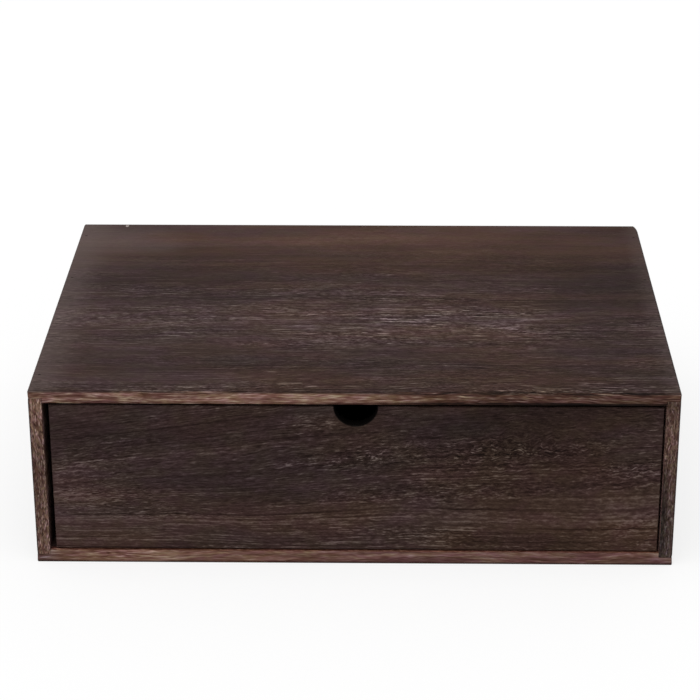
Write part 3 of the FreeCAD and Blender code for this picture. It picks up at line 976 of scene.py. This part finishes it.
def bottom_edge(wood):
    """Paler at the upper arris on the left, darker at the lower one on the right."""
    shader = wood.shader
    tones = wood.across(X, BOTTOM_LOW.x, BOTTOM_HIGH.x,
                        (-0.25, 0.12, 0.15, 0.03, -0.15, -0.3, -0.3, -0.22, -0.3))
    worn = wood.ramp(X, -150, -30, 0.5, 0.05)
    darkening = wood.ramp(X, -110, 30, 0.55, 1.15)
    tones = (tones + wood.near(Z, BOTTOM_HIGH.z, -1, 0.6, 3) * worn
             - wood.near(Z, BOTTOM_LOW.z, 1, 0.5, 1.8) * darkening
             - wood.near(X, BOTTOM_LOW.x, 1, 14, 24) * 0.3
             + wood.near(X, BOTTOM_HIGH.x, -1, 6, 14) * 0.35)
    contrast = 0.8 + wood.near(X, BOTTOM_LOW.x, 1, 30, 110) * 0.45
    ends = wood.near(X, BOTTOM_LOW.x, 1, 3, 14) + wood.near(X, BOTTOM_HIGH.x, -1, 5, 20) * 0.6
    cool = shader.mix(wood.ramp(X, -60, 30), WHITE, (1.0, 0.98, 1.12))
    return shader.tinted(sanded_colour(wood, tones, contrast),
                         shader.mix(ends, cool, (0.95, 1.1, 1.28)))


def painted_gap_light(wood, plane, inward):
    """1 on a side board's inner face behind its front edge, where light is painted into the
    gap.
    """
    return wood.near(X, plane, inward, 0.2, 1.5) * wood.near(Y, TOP_LOW.y, 1, 20, 60)


def left_wood():
    wood = Wood("left_wood", Y, Z, (30, -340, 255), (-250, 0, 0), wander=4)
    return stained_board(wood, settings().case_tone,
                         bands=painted_gap_light(wood, LEFT_HIGH.x, -1) * 0.6,
                         edge=sanded_front(left_end, (X, LEFT_LOW.x, 1), wear_and_highlight=0.6))


def left_end(wood):
    return end_grain_colour(wood, wood.across(Z, BOTTOM_LOW.z, TOP_HIGH.z,
                                              (0.05, 0.03, -0.35, -0.45, 0.1, 0.3)))


def right_wood():
    wood = Wood("right_wood", Y, Z, (430, 240, -155), (550, 0, 0), wander=4)
    return stained_board(wood, settings().case_tone,
                         bands=painted_gap_light(wood, RIGHT_LOW.x, 1) * 1.6,
                         edge=sanded_front(right_end, (X, RIGHT_HIGH.x, -1), wear_and_highlight=0.6))


def right_end(wood):
    """Greyer than the left end, and darker low down on its inner half."""
    shader = wood.shader
    tones = wood.across(Z, BOTTOM_LOW.z, TOP_HIGH.z, (-0.55, -0.75, -0.6, -0.45, 0.02, -1.0))
    darkening = wood.oval((RIGHT_LOW.x / MM - 0.5, RIGHT_LOW.y / MM, 26), (5, 20, 40))
    grey = shader.mix(wood.ramp(Z, 10, 60), (0.85, 1.0, 1.12), (0.97, 1.0, 1.0))
    return shader.tinted(end_grain_colour(wood, tones - darkening), grey)


def back_wood():
    wood = Wood("back_wood", X, Z, (130, 40, 655), (0, 160, 0))
    return stained_board(wood, settings().case_tone)


def fan(wood):
    """How far the grain of the drawer front climbs to the right: not at all low down."""
    along = wood.axis(X)
    slope, flattening = 0.08, 0.00014
    return (along * slope - along * along * flattening) * wood.ramp(Z, 20, 55)


def front_wood():
    """Rippled towards the right, darkest high up there, and straighter low down."""
    wood = Wood("front_wood", X, Z, (-168, -21, -16), (0, 60, -240), face=FRONT_LOW.y / MM,
                lean=fan, wander=7, curl=0.6, ripples=((85, 63), (90, 21)))
    dark_place = wood.spot((100, 88), (80, 26))
    beside_notch = wood.spot((-22, 79), (18, 9))
    width = X, FRONT_LOW.x, FRONT_HIGH.x
    opening = Z, BOTTOM_HIGH.z, TOP_LOW.z
    # Across the opening the front is lighter low down and darker high up: a painted gradient
    # of bounce light from the floor.
    bands = (wood.across(*opening, (0.06, 0.21, 0.02, -0.02, -0.25, -0.2))
             + wood.across(*width, (0.1, 0.02, 0, -0.03, -0.03, 0, 0, 0.02, 0.2))
             + wood.spots(((42, 89), (38, 6), 0.4), ((-148, 42), (36, 16), 0.35),
                          ((-85, 84), (110, 16), 0.24), ((35, 27), (110, 12), 0.13),
                          ((50, 56), (85, 12), 0.14), ((-135, 12), (45, 12), 0.2),
                          ((118, 36), (50, 10), 0.3), ((-10, 19), (48, 8), 0.15),
                          ((148, 20), (30, 9), 0.22), ((-55, 41), (40, 8), -0.25),
                          ((82, 11), (48, 9), -0.28), ((50, 76), (34, 6), -0.28))
             + beside_notch * 0.35 - dark_place * 0.45)
    strength = (wood.across(*width, (0.85, 0.92, 1.05, 1.1, 1.1, 1.1, 1, 0.9, 0.85))
                * (1 + beside_notch * 0.7 - dark_place * 0.3
                   + wood.spots(((60, 61), (110, 19), 0.6), ((152, 67), (30, 18), 0.35),
                                ((115, 12), (60, 16), -0.25), ((0, 14), (60, 12), 0.15))
                   - wood.ramp(Z, 20, 40, 0.1, 0.0)))
    warmth = (wood.across(*width, (0.05, 0.12, 0.15, 0.2, 0.35, 0.45, 0.5, 0.55, 0.65))
              + wood.across(*opening, (0.35, 0.15, 0, 0, 0, 0)))
    # Low down the grain has fewer dashes, and more long streaks and ring lines.
    straight = wood.ramp(Z, 14, 34, 1.0, 0.0)
    lined = wood.ramp(Z, 26, 42, 0.9, 0.0)
    return stained_board(wood, settings().drawer_tone, bands=bands, strength=strength,
                         lines=0.6 + lined, dashes=0.45 - straight * 0.3,
                         streaks=straight * 0.9, rings=0.65, warmth=warmth, edge=shaded_notch)


def shaded_notch(wood, stained):
    """Painted shade: the unlit cut of the finger notch, painted nearly black."""
    shader = wood.shader
    middle = (FRONT_LOW + FRONT_HIGH) / 2 / MM
    radius = settings().notch_radius / MM
    any_depth = 1e6
    share = wood.away((middle.x, middle.y, FRONT_HIGH.z / MM), (radius, any_depth, radius))
    notch_shade = shader.smooth(share, 1.014, 1.064, 1.0, 0.0)
    return shader.mix(notch_shade, stained, NOTCH_SHADE_BLACK)


def inside_wood(name, grain, offset):
    """The drawer's inside. Offset picks a board's place in the tree."""
    wood = Wood(f"{name}_wood", grain, Z, (offset, 70 - offset, 355), (0, 60, 160))
    return stained_board(wood, settings().inside_tone)


def panel_wood():
    wood = Wood("panel_wood", X, Y, (77, 170, 355), (0, 0, 500))
    return stained_board(wood, settings().panel_tone, strength=0.7)


def bare_steel():
    """Bright at the left end of the row of pins, and stained over elsewhere."""
    shader = new_material("bare_steel")
    here = shader.add("ShaderNodeTexCoord", {}, output="Object")
    bright_to, stained_from = -120 * MM, -110 * MM
    stained = shader.smooth(shader.add("ShaderNodeSeparateXYZ", {0: here}),
                            bright_to, stained_from)
    return shader.finish(
        Base_Color=shader.mix(stained, BARE_STEEL, STAINED_STEEL),
        Metallic=1 - stained * 0.7, Roughness=0.35 + stained * 0.25)


def stained_steel():
    shader = new_material("stained_steel")
    return shader.finish(Base_Color=STAINED_STEEL, Metallic=0.3, Roughness=0.6)


# ---------- stage

# The sun's angles and spread and the camera's angles are in degrees, the floor's size is in
# metres, and the camera's place and its lens are in millimetres.
SKY_STRENGTH = 0.55
SUN_STRENGTH, SUN_TILT, SUN_TURN, SUN_SPREAD = 1.6, 20, -8, 70
FLOOR_SIZE, FLOOR_WHITENESS, FLOOR_GLOW = 30, 0.7, 1.03
CAMERA_PLACE = (17.3, -1182.6, 586.0)
CAMERA_TURN, CAMERA_TILT, CAMERA_ROLL = 1.03, -23.62, -0.16
LENS = 119.41


def paper():
    """The floor. To the camera it looks whiter than it is, and it keeps some of its shadow."""
    shader = new_material("paper")
    shader.whiten(FLOOR_WHITENESS, "ShaderNodeEmission", FLOOR_GLOW, "Material Output")
    return shader.finish(Base_Color=tuple(settings().floor_tone), Roughness=1.0,
                         Specular_IOR_Level=0.0)


def studio():
    """A soft sky that the camera sees as pure white."""
    shader = Shader(bpy.data.worlds.new("studio"), "Background")
    shader.whiten(1.0, "ShaderNodeBackground", 1.0, "World Output")
    return shader.finish(Color=WHITE, Strength=SKY_STRENGTH)


class DESKBOX_OT_stage(bpy.types.Operator):
    """Set the floor, the soft light and the camera"""

    bl_idname = "desk_box.stage"
    bl_label = "Floor, light and camera"

    def execute(self, context):
        bpy.ops.mesh.primitive_plane_add(size=FLOOR_SIZE, location=(0, 0, 0))
        floor = context.active_object
        floor.name = "floor"
        floor.data.materials.append(paper())

        bpy.ops.object.light_add(
            type="SUN", rotation=(math.radians(SUN_TILT), math.radians(SUN_TURN), 0))
        sun = context.active_object.data
        sun.energy = SUN_STRENGTH
        sun.angle = math.radians(SUN_SPREAD)

        context.scene.world = studio()
        context.scene.view_settings.view_transform = "Standard"

        bpy.ops.object.camera_add()
        camera = context.active_object
        camera.data.lens = LENS
        place = Matrix.Translation([size * MM for size in CAMERA_PLACE])
        turn = Matrix.Rotation(math.radians(CAMERA_TURN), 4, "Z")
        tilt = Matrix.Rotation(math.radians(90 + CAMERA_TILT), 4, "X")
        roll = Matrix.Rotation(math.radians(CAMERA_ROLL), 4, "Z")
        camera.matrix_world = place @ turn @ tilt @ roll
        context.scene.camera = camera
        return {"FINISHED"}


# ---------- panel and registration

PIECES = (
    DESKBOX_OT_shelves, DESKBOX_OT_sides, DESKBOX_OT_back, DESKBOX_OT_drawer_front,
    DESKBOX_OT_drawer_sides, DESKBOX_OT_drawer_back, DESKBOX_OT_drawer_bottom,
    DESKBOX_OT_pins, DESKBOX_OT_stage,
)


class DESKBOX_PT_panel(bpy.types.Panel):
    """The box's pieces, in the order in which they are made"""

    bl_label = "Desk Box"
    bl_idname = "DESKBOX_PT_panel"
    bl_space_type = "VIEW_3D"
    bl_region_type = "UI"
    bl_category = "Desk Box"

    def draw(self, context):
        for piece in PIECES:
            self.layout.operator(piece.bl_idname)
        for name in DeskBoxFinish.__annotations__:
            self.layout.prop(context.scene.desk_box, name)


CLASSES = (DeskBoxFinish, *PIECES, DESKBOX_PT_panel)


def register():
    for item in CLASSES:
        bpy.utils.register_class(item)
    bpy.types.Scene.desk_box = bpy.props.PointerProperty(type=DeskBoxFinish)


def unregister():
    del bpy.types.Scene.desk_box
    for item in reversed(CLASSES):
        bpy.utils.unregister_class(item)


def main():
    register()
    for piece in PIECES:
        group, name = piece.bl_idname.split(".")
        getattr(getattr(bpy.ops, group), name)()


if __name__ == "__main__":
    main()
